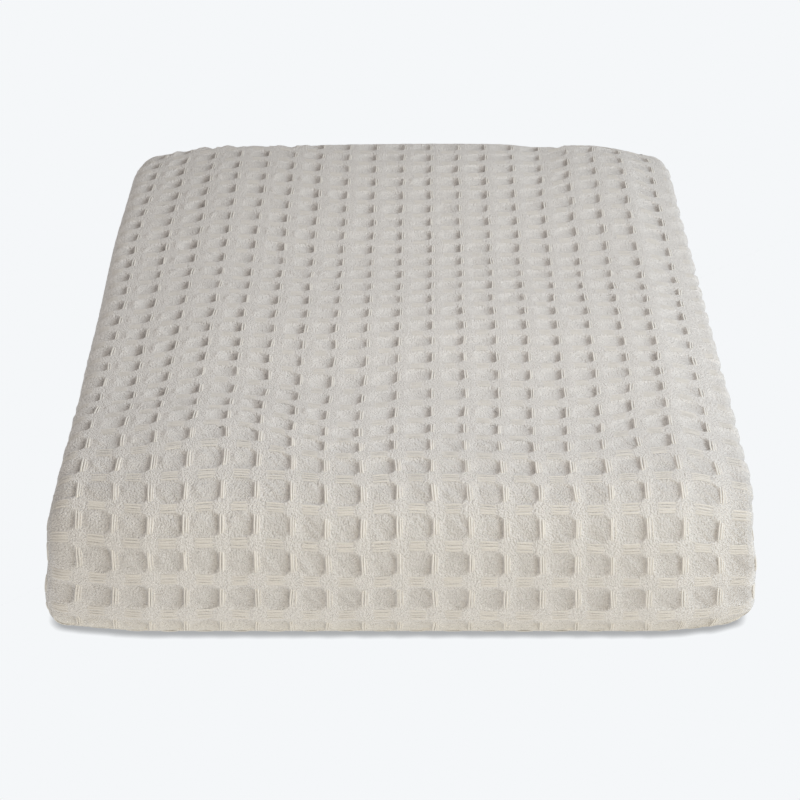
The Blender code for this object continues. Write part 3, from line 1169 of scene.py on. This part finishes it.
def cotton(name, pale, deep, painted_bounce, grain, speckle):
    """Matt cotton: as deep as its tone says, which on the cloth holds painted shade and light, with
    painted warm bounce light at the foot and the grain of its threads.
    """
    material = bpy.data.materials.new(name)
    material.use_nodes = True
    tree = material.node_tree
    link = tree.links.new
    shader = tree.nodes["Principled BSDF"]
    shader.inputs["Roughness"].default_value = ROUGHNESS
    shader.inputs["Specular IOR Level"].default_value = SPECULAR
    shader.inputs["Sheen Weight"].default_value = SHEEN
    shader.inputs["Sheen Roughness"].default_value = SHEEN_ROUGHNESS
    cloth = node(tree, "ShaderNodeUVMap", uv_map="cloth").outputs["UV"]
    tone = node(tree, "ShaderNodeAttribute", attribute_name="tone").outputs["Fac"]
    foot = node(tree, "ShaderNodeAttribute", attribute_name="foot").outputs["Fac"]
    # painted warm bounce light at the foot, over the tone's painted shade and light
    colour = blend(tree, foot, blend(tree, tone, deep, pale), painted_bounce)
    fine = noise(tree, cloth, GRAIN_SCALE, GRAIN_DETAIL)
    colour = scaled(tree, colour, mapped(tree, fine, 1 - speckle, 1 + speckle))
    blotches = noise(tree, cloth, BLOTCH_SCALE, BLOTCH_DETAIL)
    colour = scaled(tree, colour, mapped(tree, blotches, 1 - BLOTCH, 1 + BLOTCH))
    link(colour, shader.inputs["Base Color"])
    height = node(tree, "ShaderNodeMath", operation="MULTIPLY_ADD")
    height.inputs[1].default_value = THREAD_SHARE
    link(thread_grain(tree, cloth), height.inputs[0])
    link(fine, height.inputs[2])
    bump = node(tree, "ShaderNodeBump", Strength=1.0, Distance=grain)
    link(height.outputs[0], bump.inputs["Height"])
    link(bump.outputs["Normal"], shader.inputs["Normal"])
    return material


def add_piece(mesh, material):
    """A piece of the blanket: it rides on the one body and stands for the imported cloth."""
    mesh.materials.append(material)
    piece = bpy.data.objects.new(mesh.name, mesh)
    bpy.context.scene.collection.objects.link(piece)
    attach(piece, "root")
    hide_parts("blanket")
    return piece


def add_blanket():
    """The folded cloth and its loose yarns."""
    cloth_colours = (PALE_CLOTH, DEEP_CLOTH, PAINTED_BOUNCE_CLOTH)
    yarn_colours = (PALE_YARN, DEEP_YARN, PAINTED_BOUNCE_YARN)
    cloth_cotton = cotton("waffle_cotton", *cloth_colours, CLOTH_GRAIN, CLOTH_SPECKLE)
    yarn_cotton = cotton("yarn_cotton", *yarn_colours, YARN_GRAIN, YARN_SPECKLE)
    sheets = {mesh.name: add_piece(mesh, cloth_cotton) for mesh in build_sheets()}
    yarns = [add_piece(mesh, yarn_cotton) for mesh in build_yarns()]
    cloth = sheets.pop("blanket_cloth")


def add_floor():
    """A plain pale floor."""
    mesh = bpy.data.meshes.new("floor")
    shape = bmesh.new()
    bmesh.ops.create_grid(shape, x_segments=1, y_segments=1, size=FLOOR_HALF)
    shape.to_mesh(mesh)
    shape.free()
    floor = bpy.data.objects.new("floor", mesh)
    bpy.context.scene.collection.objects.link(floor)
    mesh.materials.append(floor_material())


def floor_material():
    """White paper under even light: it glows softly, and darkens only where it is covered."""
    material = bpy.data.materials.new("floor_paper")
    material.use_nodes = True
    tree = material.node_tree
    tree.nodes.clear()
    link = tree.links.new
    covered = node(tree, "ShaderNodeAmbientOcclusion", Distance=CONTACT_SHADOW_REACH)
    covered.samples = CONTACT_SHADOW_SAMPLES
    ramp = node(tree, "ShaderNodeMapRange", **CONTACT_SHADOW)
    link(covered.outputs["AO"], ramp.inputs["Value"])
    shade = node(tree, "ShaderNodeVectorMath", operation="SCALE")
    shade.inputs[0].default_value = FLOOR_COLOUR
    link(ramp.outputs["Result"], shade.inputs["Scale"])
    glow = node(tree, "ShaderNodeEmission")
    link(shade.outputs["Vector"], glow.inputs["Color"])
    output = node(tree, "ShaderNodeOutputMaterial")
    link(glow.outputs[0], output.inputs["Surface"])
    return material


def add_light(name, place, aim, size, watts, colour):
    """A soft box that shines at a point."""
    data = bpy.data.lights.new(name, "AREA")
    data.shape = "RECTANGLE"
    data.size, data.size_y = size
    data.energy = watts
    data.color = colour
    lamp = bpy.data.objects.new(name, data)
    lamp.location = place
    lamp.rotation_euler = (Vector(aim) - Vector(place)).to_track_quat("-Z", "Y").to_euler()
    bpy.context.scene.collection.objects.link(lamp)


def add_lights():
    """The soft boxes, and even light from all around."""
    for name, light in LIGHTS.items():
        add_light(name, *light)
    world = bpy.data.worlds.new("studio")
    bpy.context.scene.world = world
    world.use_nodes = True
    world.node_tree.nodes["Background"].inputs["Color"].default_value = WORLD_COLOUR
    world.node_tree.nodes["Background"].inputs["Strength"].default_value = WORLD_STRENGTH


def add_camera():
    """A camera in front of the stack that looks down on it."""
    data = bpy.data.cameras.new("camera")
    data.lens = CAMERA_LENS
    data.sensor_width = CAMERA_FILM
    camera = bpy.data.objects.new("camera", data)
    camera.location = CAMERA_PLACE
    camera.rotation_euler = (math.radians(90 - CAMERA_DOWN), 0, 0)
    bpy.context.scene.collection.objects.link(camera)
    bpy.context.scene.camera = camera


def main():
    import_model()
    add_blanket()
    add_floor()
    add_lights()
    add_camera()
    bpy.context.scene.view_settings.view_transform = "Standard"


main()
